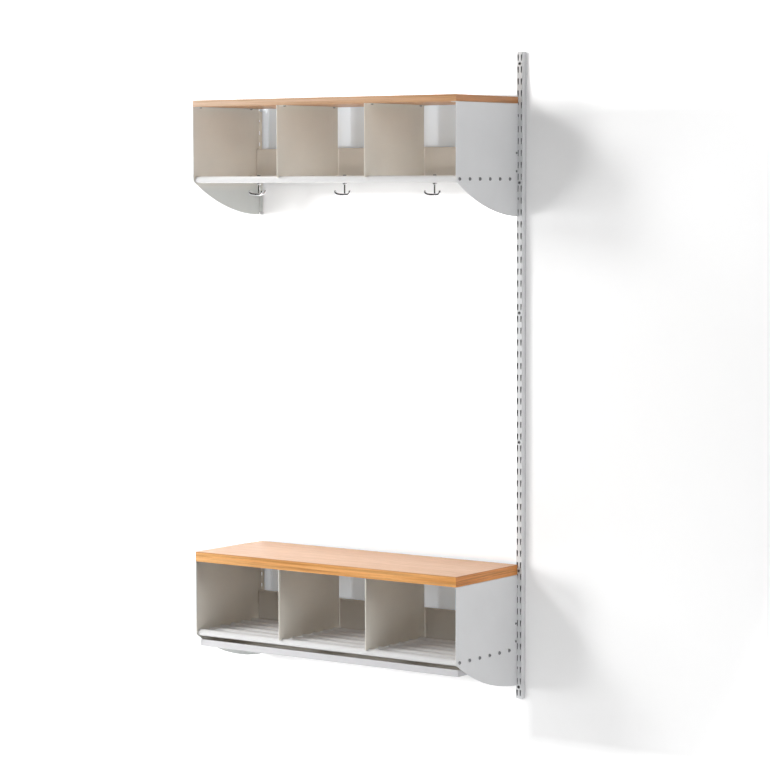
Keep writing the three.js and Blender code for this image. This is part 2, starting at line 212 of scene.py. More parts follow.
# What shades the lamps: a flag behind each left gable, where the neighbour's upright would stand,
# and cloth at the bench's mouth and beside the left gables
FLAG_SIZE = 17.8 * MM
SHADE_DROP = 110 * MM
SHADE_DEPTH = 6 * MM
SHADE_DENSITY = 0.75
SIDE_SCRIM_GAP = 5 * MM
SIDE_SCRIM_MARGIN = 5 * MM
SIDE_SCRIM_DENSITY = 0.55
CLOTH_TONE = 0.02

# The studio's wall and floor, in metres
WALL_Y = 0.001
WALL_ENDS = (-7, 6)
WALL_TOP = 5
FLOOR_ENDS = (-3.2, 2.3)
FLOOR_FRONT = -2.4
FLOOR_Z = -0.5
STAGE_ROUGHNESS = 0.9

# Wall and floor glow white away from the shadows: beyond a reach from the object, and near it in
# bands of the wall, each given by the places between which the glow grows, in metres. Weaker glows
# under the shelf, in the crease beside the left gables and in the cubbies lighten the shadows
# there:
# painted light
GLOW_NEAR = 0.05
GLOW_CENTRE = (-0.45, 0, 0.88)
GLOW_RADII = (1.3, 1.3, 1.6)
GLOW_REACH = (0.95, 1.25)
GLOW_LEFT_ABOVE = (1.640, 1.652)
GLOW_LEFT_BENEATH_SHELF = (1.34, 1.28)
GLOW_MIDDLE_BENEATH_SHELF = (1.39, 1.33)
GLOW_MIDDLE = (-0.80, -0.55)
GLOW_LEFT_OVER_BENCH = (0.3695, 0.43)
GLOW_LEFT_BELOW = (0.05, -0.04)
GLOW_RIGHT_ABOVE = (1.57, 1.74)
GLOW_RIGHT_BELOW = (-0.07, -0.26)
GLOW_RIGHT = (0.012, 0.028)
GLOW_RIGHT_START = (-0.5 * MM, 0.5 * MM)
GLOW_LEFT = (-0.012, -0.016)
GLOW_WALL_ONLY = (-4 * MM, -2 * MM)
GLOW_BELOW_WIDTH = (0.06, -0.10)
GLOW_OVER_UPRIGHT = (1.752, 1.766)
GLOW_UNDER_SHELF = 0.18
UNDER_SHELF = ((1.31, 1.325), (1.415, 1.40))
UNDER_SHELF_END = (-0.71, -0.79)
GLOW_CREASE = 0.2
CREASE = ((-0.93, -0.91), (-0.865, -0.885))
LOW_CREASE_LOSS = 0.6
BEHIND_GABLES = ((-0.96, -0.93), (-0.9065, -0.9075))
GLOW_CUBBIES = 0.03
GLOW_LOW_CUBBIES = 0.10
LOW_CUBBIES = (0.40, 0.36)
TINTED_HEIGHTS = ((1.405, 1.425), (1.64, 1.63), (0.12, 0.14), (0.38, 0.37))
BESIDE_SHELF = ((1.31, 1.36), (1.62, 1.57))
BESIDE_SHELF_END = (0.36, 0.10)
# The wall right behind the upright is painted dark and does not glow: painted shade seen through
# the slots
BEHIND_UPRIGHT = ((-9 * MM, -8 * MM), (9 * MM, 8 * MM), (0, 3 * MM), (1.760, 1.757))
WALL_PAINTED_SHADE = (0.06, 0.06, 0.06, 1)
WALL_WHITE = (0.90, 0.90, 0.90, 1)
# A cooler tone on the wall seen in the cubbies: painted shade colour
WALL_CUBBY_SHADE_TINT = (0.84, 0.915, 0.98, 1)

# Powder coat: the scales of its noises, the places and tones of its ramps, and its gloss and bump
CLOUD_SCALE = 9
PEEL_SCALE = 420
FLECK_SCALE = 1600
CLOUD_STOPS = ((0.3, 0.975), (0.7, 1.02))
FLECK_STOPS = ((0.35, 0.965), (0.6, 1))
COAT_GLOSS = 0.05
COAT_BUMP = (0.10, 0.25 * MM)
SATIN = 0.48

# Wood: how much finer its fibres, pores and streaks are than its bands, its ramps, gloss and bump
FIBRE_FINENESS = 6
PORE_FINENESS = 22
STREAK_FINENESS = 1.6
BAND_PLACES = (0.30, 0.5, 0.72)
FIBRE_STOPS = ((0.35, (0.86, 0.84, 0.82)), (0.65, (1.06, 1.06, 1.06)))
PORE_PLACES = (0.30, 0.40)
STREAK_PLACES = (0.36, 0.50)
EDGE_LINE = 3 * MM
EDGE_LINE_STOPS = ((0.3, (1, 1, 1)), (0.7, (0.62, 0.55, 0.48)))
WOOD_GLOSS = 0.06
WOOD_BUMP = (0.12, 0.2 * MM)

# Plating: the scale of its polishing marks, the places and tones of its ramp, and its gloss
MARK_SCALE = 500
MARK_STOPS = ((0.3, 0.94), (0.7, 1))
PLATED_GLOSS = 0.06

BENCH_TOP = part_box("bench_board")[1].z
BOARD_ENDS = tuple(corner.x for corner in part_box("shelf_board"))


# Materials

WHITE = (1, 1, 1)


def new_material(name):
    material = bpy.data.materials.new(name)
    material.use_nodes = True
    tree = material.node_tree
    return material, tree, tree.nodes["Principled BSDF"]


def add(tree, kind, inputs=None, **settings):
    """A node of a kind, with its settings and its inputs: values, or sockets to link from."""
    node = tree.nodes.new(kind)
    for name, value in settings.items():
        setattr(node, name, value)
    for name, value in (inputs or {}).items():
        if isinstance(value, bpy.types.NodeSocket):
            tree.links.new(value, node.inputs[name])
        else:
            node.inputs[name].default_value = value
    return node


def chain(tree, operation, *values):
    """The values, numbers or sockets, joined by one kind of arithmetic."""
    result = values[0]
    for value in values[1:]:
        result = add(tree, "ShaderNodeMath", {0: result, 1: value}, operation=operation).outputs[0]
    return result


def ramp(tree, factor, stops):
    """A colour ramp with stops of (place, colour)."""
    node = add(tree, "ShaderNodeValToRGB", {"Fac": factor})
    elements = node.color_ramp.elements
    while len(elements) < len(stops):
        elements.new(0.5)
    for element, (place, colour) in zip(elements, stops):
        element.position = place
        element.color = (*colour, 1)
    return node.outputs["Color"]


def shade(colour, factor):
    """A colour, or any three numbers, times a factor."""
    return tuple(channel * factor for channel in colour)


def tones(colour, stops):
    """Stops of (place, colour) from stops of (place, factor)."""
    return [(place, shade(colour, factor)) for place, factor in stops]


def multiply(tree, colour, factor, stops):
    """The colour times a ramp of the factor."""
    inputs = {"Factor": 1, 6: colour, 7: ramp(tree, factor, stops)}
    return add(tree, "ShaderNodeMix", inputs, data_type="RGBA", blend_type="MULTIPLY").outputs[2]


def graded(tree, colour, share, start, end):
    """The colour times a tone that runs from start to end."""
    return multiply(tree, colour, share, ((0, start), (1, end)))


def object_noise(tree, scale, stretch=(1, 1, 1), detail=3.0, roughness=0.5):
    """Noise in the frame's own metres, stretched along its axes."""
    place = add(tree, "ShaderNodeTexCoord").outputs["Object"]
    mapping = add(tree, "ShaderNodeMapping", {"Vector": place, "Scale": stretch})
    inputs = {"Vector": mapping.outputs["Vector"], "Scale": scale}
    inputs.update({"Detail": detail, "Roughness": roughness})
    return add(tree, "ShaderNodeTexNoise", inputs).outputs["Fac"]


def along(tree, axis, start, end, smooth=False):
    """0 to 1 between two places on one axis of the frame."""
    place = add(tree, "ShaderNodeTexCoord").outputs["Object"]
    split = add(tree, "ShaderNodeSeparateXYZ", {"Vector": place})
    kind = "SMOOTHSTEP" if smooth else "LINEAR"
    inputs = {"Value": split.outputs[axis], "From Min": start, "From Max": end}
    return add(tree, "ShaderNodeMapRange", inputs, interpolation_type=kind).outputs["Result"]


def surface(tree, shader, colour, relief, roughness, bump=None):
    """The colour, a roughness between two values that follows the relief, and the relief's bump."""
    inputs = {"Value": relief, "To Min": roughness[0], "To Max": roughness[1]}
    gloss = add(tree, "ShaderNodeMapRange", inputs)
    tree.links.new(colour, shader.inputs["Base Color"])
    tree.links.new(gloss.outputs["Result"], shader.inputs["Roughness"])
    if bump is not None:
        inputs = {"Height": relief, "Strength": bump[0], "Distance": bump[1]}
        normal = add(tree, "ShaderNodeBump", inputs).outputs["Normal"]
        tree.links.new(normal, shader.inputs["Normal"])


def powder_coat(name, colour, roughness=SATIN, under=None, ends=None):
    """Powder coat: a faint cloudiness, fine orange peel and a slightly uneven gloss.
    It can take a painted shade below a height, and painted light that changes from left to right."""
    material, tree, shader = new_material(name)
    cloud = object_noise(tree, CLOUD_SCALE, detail=4)
    peel = object_noise(tree, PEEL_SCALE, detail=2)
    speckle = object_noise(tree, FLECK_SCALE, detail=1)
    mixed = ramp(tree, cloud, tones(colour, CLOUD_STOPS))
    mixed = multiply(tree, mixed, speckle, tones(WHITE, FLECK_STOPS))
    # Painted shade below a height
    if under is not None:
        tone, start, end = under
        mixed = graded(tree, mixed, along(tree, "Z", start, end), WHITE, tone)
    # Painted light that changes from left to right
    if ends is not None:
        mixed = graded(tree, mixed, along(tree, "X", *BOARD_ENDS), *ends)
    surface(tree, shader, mixed, peel, (roughness - COAT_GLOSS, roughness + COAT_GLOSS), COAT_BUMP)
    return material


def wood(name, shades, stretch, roughness, pores, streaks=0, top=None, ends=None, specular=0.5):
    """Wood laminate: broad bands, long fibres and short dark pores, all drawn out along the grain.
    An edge band can have dark streaks, a dark line at its top and a painted highlight that fades to
    the right."""
    material, tree, shader = new_material(name)
    bands = object_noise(tree, 1, stretch, detail=5, roughness=0.6)
    fibres = object_noise(tree, 1, shade(stretch, FIBRE_FINENESS), detail=3, roughness=0.65)
    flecks = object_noise(tree, 1, shade(stretch, PORE_FINENESS), detail=1)
    shader.inputs["Specular IOR Level"].default_value = specular
    colour = ramp(tree, bands, list(zip(BAND_PLACES, shades)))
    colour = multiply(tree, colour, fibres, FIBRE_STOPS)
    colour = multiply(tree, colour, flecks, tones(WHITE, zip(PORE_PLACES, (1 - pores, 1))))
    if streaks:
        layers = object_noise(tree, 1, shade(stretch, STREAK_FINENESS), detail=2)
        colour = multiply(tree, colour, layers, tones(WHITE, zip(STREAK_PLACES, (1 - streaks, 1))))
    if top is not None:
        colour = multiply(tree, colour, along(tree, "Z", top - EDGE_LINE, top), EDGE_LINE_STOPS)
    # A painted highlight, pale at the left and fading to the right
    if ends is not None:
        colour = graded(tree, colour, along(tree, "X", *BOARD_ENDS), *ends)
    gloss = (roughness + WOOD_GLOSS, roughness - WOOD_GLOSS)
    surface(tree, shader, colour, fibres, gloss, WOOD_BUMP)
    return material


def plated(name, colour, roughness):
    """Plated steel: bright, with faint polishing marks in its gloss."""
    material, tree, shader = new_material(name)
    marks = object_noise(tree, MARK_SCALE, detail=3)
    shader.inputs["Metallic"].default_value = 1
    tint = ramp(tree, marks, tones(colour, MARK_STOPS))
    surface(tree, shader, tint, marks, (roughness, roughness + PLATED_GLOSS))
    return material


SHEET_PAINT = powder_coat("sheet_paint", (0.70, 0.705, 0.715))
# The channel's inside is painted near black: painted shade, so that the slots show dark
CHANNEL_PAINTED_SHADE = powder_coat("channel_painted_shade", (0.07, 0.07, 0.07), 0.6)
# The dividers are the gables' sheet painted lighter and warmer: painted bounce light from the wood
INNER_PAINTED_BOUNCE = powder_coat("inner_painted_bounce", (0.88, 0.85, 0.775))
# The gables' inner faces: painted warm bounce light, lighter in the shelf than in the bench,
# turning to a cooler, darker painted shade below the tubes
GABLE_INSIDES_PAINTED_LIGHT = {
    "shelf": powder_coat(
        "shelf_gable_inside_painted_light", (0.87, 0.84, 0.77), under=((0.80, 0.86, 0.92), 1.425, 1.385)),
    "bench": powder_coat(
        "bench_gable_inside_painted_light", (0.84, 0.81, 0.74), under=((0.82, 0.88, 0.94), 0.145, 0.105)),
}
# One panel paint in two copies: the shelf's lighter and warmer as painted bounce light, the bench's
# darker as painted shade
PANEL_PAINTED_LIGHT = {
    "shelf": powder_coat("panel_paint", (0.79, 0.75, 0.68)),
    "bench": powder_coat("bench_panel_painted_shade", (0.60, 0.565, 0.51)),
}
# The tray's front is painted lighter at the left and darker at the right: painted light falling off
TRAY_PAINT = powder_coat(
    "tray_paint", (0.62, 0.61, 0.61), ends=((1.05, 1.06, 1.08), (0.86, 0.87, 0.89)))
# The tray's inside is painted darker than its outside: painted shade
TRAY_INSIDE_PAINTED_SHADE = powder_coat("tray_inside_painted_shade", (0.60, 0.59, 0.55), 0.55)
TUBE_PAINT = powder_coat("tube_paint", (0.67, 0.67, 0.67), 0.38)
CHROME = plated("chrome_plate", (0.80, 0.80, 0.81), 0.05)
BOLT_PLATE = plated("bolt_plate", (0.22, 0.22, 0.22), 0.30)
ZINC = plated("zinc_plate", (0.30, 0.30, 0.31), 0.34)
BLACKED = plated("blackened_steel", (0.09, 0.09, 0.09), 0.45)
SOCKET = plated("socket_shadow", (0.06, 0.06, 0.06), 0.6)
WOOD_TOP = wood(
    "wood_top", ((0.560, 0.297, 0.15), (0.632, 0.355, 0.19), (0.687, 0.405, 0.228)),
    (3.0, 70, 70), 0.40, 0.10, specular=0.25)
# The edge bands' change from left to right is a painted highlight, pale at the left and fading to
# the right
BENCH_BAND = wood(
    "bench_band", ((0.46, 0.19, 0.042), (0.70, 0.335, 0.10), (0.84, 0.45, 0.165)),
    (2.5, 120, 120), 0.42, 0.2, streaks=0.2, top=BENCH_TOP,
    ends=((1.04, 1.13, 1.40), (0.95, 0.92, 0.92)))
# The board ends take darker copies of the edge bands: painted shade
BENCH_END_PAINTED_SHADE = wood(
    "bench_end_painted_shade", ((0.42, 0.14, 0.027), (0.63, 0.235, 0.05), (0.76, 0.315, 0.085)),
    (120, 2.5, 120), 0.42, 0.25, streaks=0.3, top=BENCH_TOP)
SHELF_BAND = wood(
    "shelf_band", ((0.40, 0.22, 0.11), (0.52, 0.32, 0.18), (0.60, 0.39, 0.24)),
    (2.5, 110, 110), 0.42, 0.15, ends=((1.24, 1.50, 2.0), (1.0, 0.905, 0.81)))
SHELF_END_PAINTED_SHADE = wood(
    "shelf_end_painted_shade", ((0.38, 0.15, 0.05), (0.50, 0.22, 0.08), (0.60, 0.29, 0.12)),
    (110, 2.5, 110), 0.42, 0.2, streaks=0.25)


# Mesh helpers

def new_object(name, data, *materials):
    thing = bpy.data.objects.new(name, data)
    bpy.context.scene.collection.objects.link(thing)
    for material in materials:
        data.materials.append(material)
    return thing


def mesh_from(name, bm):
    mesh = bpy.data.meshes.new(name)
    bm.to_mesh(mesh)
    bm.free()
    return mesh


def finished(thing):
    """The object's mesh with its modifiers applied."""
    graph = bpy.context.evaluated_depsgraph_get()
    mesh = bpy.data.meshes.new_from_object(thing.evaluated_get(graph))
    thing.modifiers.clear()
    thing.data = mesh
    return thing


def smooth(thing, degrees=CRISP_ANGLE):
    """Smooth shading that keeps edges sharper than an angle crisp."""
    for polygon in thing.data.polygons:
        polygon.use_smooth = True
    thing.data.set_sharp_from_angle(angle=math.radians(degrees))
    return thing


def seat(thing, body, slot, *nodes):
    """The piece rides on a body and stands for these nodes, which are hidden; the slot is not used.
    """
    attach(thing, body)
    if nodes:
        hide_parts(*nodes)
    return thing


def rounded(points, radius=BEND_RADIUS):
    """An open path through (out, inward) points, with its inner corners rounded off."""
    points = [Vector((*point, 0)) for point in points]
    path = [points[0]]
    for before, corner, after in zip(points, points[1:], points[2:]):
        back = (before - corner).normalized()
        ahead = (after - corner).normalized()
        half = back.angle(ahead) / 2
        arc = math.pi - 2 * half
        setback = radius / math.tan(half)
        centre = corner + (back + ahead).normalized() * (radius / math.sin(half))
        start = corner + back * setback - centre
        end = corner + ahead * setback - centre
        for step in range(BEND_STEPS + 1):
            share = step / BEND_STEPS
            turn = start * math.sin((1 - share) * arc) + end * math.sin(share * arc)
            path.append(centre + turn / math.sin(arc))
    path.append(points[-1])
    return [(point.x, point.y) for point in path]


def fill_face(bm, loops, normal):
    """A flat face: the first loop is its outline and the others are its holes."""
    edges = []
    for loop in loops:
        corners = [bm.verts.new(point) for point in loop]
        for first, second in zip(corners, corners[1:] + corners[:1]):
            edges.append(bm.edges.new((first, second)))
    bmesh.ops.triangle_fill(bm, use_beauty=True, edges=edges, normal=normal)


def sweep(bm, start, end, path, out, inward):
    """A strip from start to end whose section is a path of (out, inward) distances."""
    rows = []
    for across, deep in path:
        offset = out * across + inward * deep
        rows.append((bm.verts.new(start + offset), bm.verts.new(end + offset)))
    for (a, b), (c, d) in zip(rows, rows[1:]):
        bm.faces.new((a, b, d, c))


def flat(name, corners, material):
    """A single face between corners."""
    bm = bmesh.new()
    bm.faces.new([bm.verts.new(corner) for corner in corners])
    return new_object(name, mesh_from(name, bm), material)


def block(box_low, box_high):
    """A box between two corners."""
    bm = bmesh.new()
    scale = Matrix.Diagonal((*(box_high - box_low), 1))
    matrix = Matrix.Translation((box_high + box_low) / 2) @ scale
    bmesh.ops.create_cube(bm, size=1, matrix=matrix)
    bm.normal_update()
    return bm


def circle(centre, radius, across, upwards, steps=ROUND_STEPS):
    """Points on a circle in the plane of two directions."""
    turns = (math.tau * step / steps for step in range(steps))
    return [
        centre + across * (radius * math.cos(turn)) + upwards * (radius * math.sin(turn))
        for turn in turns
    ]


def soften(thing, width):
    """Takes the sharpness off the edges and shades flat stretches flat."""
    bevel = thing.modifiers.new("edges", "BEVEL")
    bevel.width = width
    bevel.segments = 1
    bevel.limit_method = "ANGLE"
    bevel.angle_limit = math.radians(BEVEL_ANGLE)
    finished(thing)
    for polygon in thing.data.polygons:
        polygon.use_smooth = True
    weighted = thing.modifiers.new("normals", "WEIGHTED_NORMAL")
    weighted.keep_sharp = True
    weighted.weight = FACE_WEIGHT
    return finished(thing)


def sheet_object(name, bm, outward, material, thickness=SHEET, edge=SHEET_EDGE):
    """A surface, whose faces look outward at the plate, made a sheet with softened edges."""
    bmesh.ops.remove_doubles(bm, verts=bm.verts, dist=WELD)
    bmesh.ops.recalc_face_normals(bm, faces=bm.faces)
    bm.normal_update()
    plate = max(bm.faces, key=lambda face: face.calc_area())
    if plate.normal.dot(outward) < 0:
        bmesh.ops.reverse_faces(bm, faces=bm.faces)
    thing = new_object(name, mesh_from(name, bm), material)
    gauge = thing.modifiers.new("gauge", "SOLIDIFY")
    gauge.thickness = thickness
    gauge.offset = -1
    gauge.use_even_offset = True
    return soften(finished(thing), edge)


def lathe(profile, sides):
    """A solid of revolution about Z from (radius, height) points, lower pole to upper pole."""
    bm = bmesh.new()
    rings = []
    for radius, height in profile:
        points = circle(UP * height, radius, RIGHT, BACK, sides) if radius else [UP * height]
        rings.append([bm.verts.new(point) for point in points])
    for below, above in zip(rings, rings[1:]):
        for index in range(sides):
            after = index + 1
            corners = [
                below[index % len(below)], below[after % len(below)],
                above[after % len(above)], above[index % len(above)],
            ]
            unique = list(dict.fromkeys(corners))
            if len(unique) > 2:
                bm.faces.new(unique)
    bmesh.ops.recalc_face_normals(bm, faces=bm.faces)
    return bm


# Places taken from the frame

def low(node):
    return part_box(node)[0]


def high(node):
    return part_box(node)[1]


UNITS = ("shelf", "bench")
FRONT_Y = low("shelf_gable_left").y
LEFT_X = low("shelf_gable_left").x
RIGHT_X = high("shelf_gable_right").x
TOP_Z = {unit: high(f"{unit}_gable_left").z for unit in UNITS}
AXIS_Z = {unit: TOP_Z[unit] - TUBE_DROP for unit in UNITS}


def tube_depth(index):
    return TUBE_FIRST + index * TUBE_PITCH


# Slotted upright

def slot_points(side, foot):
    """A slot's outline, a narrow foot under a wider head, at 1 the right or -1 the left side."""
    head = foot + SLOT_LENGTH
    shoulder = head - SLOT_LENGTH * SLOT_HEAD_SHARE
    halves = (-SLOT_FOOT_WIDTH / 2, SLOT_FOOT_WIDTH / 2)
    points = [(SLOT_FOOT_CENTRE + half, foot) for half in halves]
    points += [(SLOT_HEAD_CENTRE + SLOT_HEAD_WIDTH / 2, z) for z in (shoulder, head)]
    points += [(SLOT_HEAD_CENTRE - SLOT_HEAD_WIDTH / 2, z) for z in (head, shoulder)]
    return [(side * x, z) for x, z in points]


def make_upright():
    """A channel: its web row by row, with slots and dimples, and the sides in the same rows."""
    box_low, box_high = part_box("upright")
    half = box_high.x - UPRIGHT_BEND
    depth = -box_low.y
    face = box_low.y
    length = box_high.z
    section = [(0, 0), (UPRIGHT_BEND, 0)]
    section += [(UPRIGHT_BEND, depth), (UPRIGHT_BEND - UPRIGHT_LIP, depth)]
    path = rounded(section, UPRIGHT_BEND)
    bm = bmesh.new()
    band_top = length
    for row in range(SLOT_ROWS):
        foot = length - FIRST_SLOT_DROP - SLOT_LENGTH - row * SLOT_PITCH
        last = row == SLOT_ROWS - 1
        band_foot = 0 if last else foot - SLOT_PITCH + SLOT_LENGTH + SLOT_MARGIN
        corners = [(-half, band_foot), (half, band_foot), (half, band_top), (-half, band_top)]
        loops = [[Vector((x, face, z)) for x, z in corners]]
        loops += [[Vector((x, face, z)) for x, z in slot_points(side, foot)] for side in (1, -1)]
        centre = Vector((0, face, foot - (SLOT_PITCH - SLOT_LENGTH) / 2))
        if row in WALL_HOLE_ROWS:
            loops.append(circle(centre, WALL_HOLE_RADIUS, RIGHT, UP))
        elif not last:
            loops.append(circle(centre, DIMPLE_RADIUS, RIGHT, UP))
            rim = [bm.verts.new(point) for point in loops[-1]]
            dish = circle(centre + BACK * DIMPLE_DEPTH, DIMPLE_FLOOR, RIGHT, UP)
            dish = [bm.verts.new(point) for point in dish]
            for index in range(ROUND_STEPS):
                after = (index + 1) % ROUND_STEPS
                bm.faces.new((rim[index], rim[after], dish[after], dish[index]))
            bm.faces.new(dish)
        fill_face(bm, loops, -BACK)
        for side in (1, -1):
            start = Vector((side * half, face, band_foot))
            sweep(bm, start, start + UP * (band_top - band_foot), path, RIGHT * side, BACK)
        band_top = band_foot
    thing = sheet_object("upright_channel", bm, -BACK, SHEET_PAINT, edge=SLOT_EDGE)
    # Faces inside the channel take the painted shade
    thing.data.materials.append(CHANNEL_PAINTED_SHADE)
    for polygon in thing.data.polygons:
        place = polygon.center
        if abs(place.x) < box_high.x - SKIN and face + SKIN < place.y < -SKIN:
            polygon.material_index = 1
    seat(thing, "rack", "sheet_paint", "upright")


# Gables

def gable_edge(depth):
    """How far the curved lower edge lies below the top: an arc that is lowest at the wall."""
    wall = -FRONT_Y
    rise = GABLE_LOWEST - GABLE_FRONT
    radius = (rise ** 2 + wall ** 2) / (rise * 2)
    return TUBE_DROP + GABLE_LOWEST - radius + math.sqrt(radius ** 2 - (wall - depth) ** 2)


def gable_rear_edge():
    """The rear edge from the top down: tabs at full depth, and bends set back between them."""
    points = [(GABLE_DEPTH, 0)]
    bends = []
    bend_start = None
    setback = GABLE_DEPTH - BEND_RADIUS
    for row in TAB_ROWS:
        foot = -TAB_DROP - row * SLOT_PITCH
        head = foot + TAB_HEIGHT
        if bend_start is not None:
            bend_end = head + TAB_RELIEF
            bends.append((bend_start, bend_end))
            points += [(setback, bend_start), (setback, bend_end), (GABLE_DEPTH, bend_end)]
        hook = GABLE_DEPTH + TAB_REACH
        points += [(GABLE_DEPTH, head), (hook + TAB_THICKNESS, head)]
        points += [(hook + TAB_THICKNESS, foot - TAB_HOOK), (hook, foot - TAB_HOOK), (hook, foot)]
        points += [(GABLE_DEPTH, foot), (GABLE_DEPTH, foot - TAB_RELIEF)]
        bend_start = foot - TAB_RELIEF
    bottom = FLANGE_INSET - gable_edge(GABLE_DEPTH)
    bends.append((bend_start, bottom))
    points += [(setback, bend_start), (setback, bottom), (GABLE_DEPTH, bottom)]
    return points, bends


def make_gable(unit, side, outer_x, inward):
    """inward is 1 for the left gable, whose flanges turn right, and -1 for the right one."""
    top = TOP_Z[unit]
    turn = RIGHT * inward

    def at(depth, height):
        return Vector((outer_x, FRONT_Y + depth, top + height))

    rear, bends = gable_rear_edge()
    outline = [(0, 0), (FLANGE_INSET, 0), (FLANGE_INSET, -BEND_RADIUS)]
    outline += [(GABLE_DEPTH - FLANGE_INSET, -BEND_RADIUS), (GABLE_DEPTH - FLANGE_INSET, 0)]
    outline += rear
    for step in range(ARC_STEPS, -1, -1):
        depth = GABLE_DEPTH * step / ARC_STEPS
        outline.append((depth, -gable_edge(depth)))
    loops = [[at(*point) for point in outline]]
    for index in range(TUBE_COUNT):
        loops.append(circle(at(tube_depth(index), -TUBE_DROP), SCREW_HOLE, BACK, UP))
    bm = bmesh.new()
    fill_face(bm, loops, -turn)

    bend = rounded([(0, 0), (BEND_RADIUS, 0), (BEND_RADIUS, BEND_RADIUS * 2)])[:-1]
    top_path = bend + [(BEND_RADIUS, SHEET + GABLE_TOP_FLANGE)]
    end = GABLE_DEPTH - FLANGE_INSET
    sweep(bm, at(FLANGE_INSET, -BEND_RADIUS), at(end, -BEND_RADIUS), top_path, UP, turn)
    setback = GABLE_DEPTH - BEND_RADIUS
    flat_side = [at(GABLE_DEPTH, -FLANGE_INSET) + turn * BEND_RADIUS]
    for start, end in bends:
        sweep(bm, at(setback, start), at(setback, end), bend, BACK, turn)
        flat_side += [at(GABLE_DEPTH, height) + turn * BEND_RADIUS for height in (start, end)]
    width = SHEET + GABLE_REAR_FLANGE
    free_side = [at(GABLE_DEPTH, height) + turn * width for height in (bends[-1][1], -FLANGE_INSET)]
    flange = [flat_side + free_side]
    for row in range(1, TAB_ROWS[-1]):
        centre = SLOT_LENGTH / 2 - TAB_DROP - row * SLOT_PITCH
        across = SHEET + FLANGE_SLOT_INSET
        corners = []
        for x, z in ((-1, -1), (1, -1), (1, 1), (-1, 1)):
            shift = across + x * FLANGE_SLOT_WIDTH / 2
            corners.append(at(GABLE_DEPTH, centre + z * FLANGE_SLOT_HEIGHT / 2) + turn * shift)
        flange.append(corners)
    fill_face(bm, flange, BACK)
    node = f"{unit}_gable_{side}"
    thing = sheet_object(f"{node}_sheet", bm, -turn, SHEET_PAINT)
    # Inner faces and the rear flange's front take the painted light and shade of the insides
    thing.data.materials.append(GABLE_INSIDES_PAINTED_LIGHT[unit])
    for polygon in thing.data.polygons:
        on_flange = polygon.center.y > FRONT_Y + setback and polygon.normal.y < -0.5
        if polygon.normal.dot(turn) > 0.5 or on_flange:
            polygon.material_index = 1
    seat(thing, "rack", "sheet_paint", node)


# Dividers

def make_divider(unit, side):
    node = f"{unit}_divider_{side}"
    box_low, box_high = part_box(node)
    top = box_high.z
    depth_end = box_high.y - FRONT_Y

    def at(depth, height):
        return Vector((box_low.x, FRONT_Y + depth, top + height))

    flange_end = depth_end - FLANGE_INSET
    outline = [(0, 0), (FLANGE_INSET, 0), (FLANGE_INSET, -BEND_RADIUS)]
    outline += [(flange_end, -BEND_RADIUS), (flange_end, 0), (depth_end, 0)]
    foot = DIVIDER_ABOVE_AXIS - TUBE_DROP
    outline.append((depth_end, foot))
    lean = math.asin(DIVIDER_ABOVE_AXIS / SADDLE_RADIUS)
    for index in range(TUBE_COUNT - 1, -1, -1):
        for step in range(SADDLE_STEPS + 1):
            angle = lean + (math.pi - lean * 2) * step / SADDLE_STEPS
            depth = tube_depth(index) + SADDLE_RADIUS * math.cos(angle)
            outline.append((depth, SADDLE_RADIUS * math.sin(angle) - TUBE_DROP))
    outline.append((0, foot))
    bm = bmesh.new()
    fill_face(bm, [[at(*point) for point in outline]], -RIGHT)
    path = rounded([(0, 0), (BEND_RADIUS, 0), (BEND_RADIUS, DIVIDER_FLANGE + SHEET / 2)])
    sweep(bm, at(FLANGE_INSET, -BEND_RADIUS), at(flange_end, -BEND_RADIUS), path, UP, RIGHT)
    thing = sheet_object(f"{node}_sheet", bm, -RIGHT, INNER_PAINTED_BOUNCE)
    seat(thing, "rack", "sheet_paint", node)


# Back panels and drip tray, pans with rounded folds

def make_pan(name, node, open_side, material, gauge=SHEET):
    """A box that is open on one side, with its other edges folded round."""
    bm = block(*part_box(node))
    rim = [face for face in bm.faces if face.normal.dot(open_side) > 0.9]
    rim_edges = set(edge for face in rim for edge in face.edges)
    folds = [edge for edge in bm.edges if edge not in rim_edges]
    bmesh.ops.delete(bm, geom=rim, context="FACES_ONLY")
    bmesh.ops.bevel(
        bm, geom=folds, offset=BEND_RADIUS, segments=BEND_STEPS, profile=0.5, affect="EDGES")
    bm.normal_update()
    middle = sum((face.calc_center_median() for face in bm.faces), Vector()) / len(bm.faces)
    big = max(bm.faces, key=lambda face: face.calc_area())
    outward = (big.calc_center_median() - middle).normalized()
    return sheet_object(name, bm, outward, material, gauge)


def make_back_panel(unit):
    node = f"{unit}_back_panel"
    seat(make_pan(f"{node}_pan", node, BACK, PANEL_PAINTED_LIGHT[unit]), "rack", "sheet_paint", node)


def make_tray():
    box_low, box_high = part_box("drip_tray")
    thing = make_pan("drip_tray_pan", "drip_tray", UP, TRAY_PAINT, TRAY_SHEET)
    # Inside faces below the rim take the painted shade
    thing.data.materials.append(TRAY_INSIDE_PAINTED_SHADE)
    middle = (box_low + box_high) / 2 + UP * (box_high.z - box_low.z)
    for polygon in thing.data.polygons:
        inside = polygon.normal.dot(middle - polygon.center) > 0
        if inside and polygon.center.z < box_high.z - TRAY_SHEET:
            polygon.material_index = 1
    seat(thing, "tray", "sheet_paint", "drip_tray")


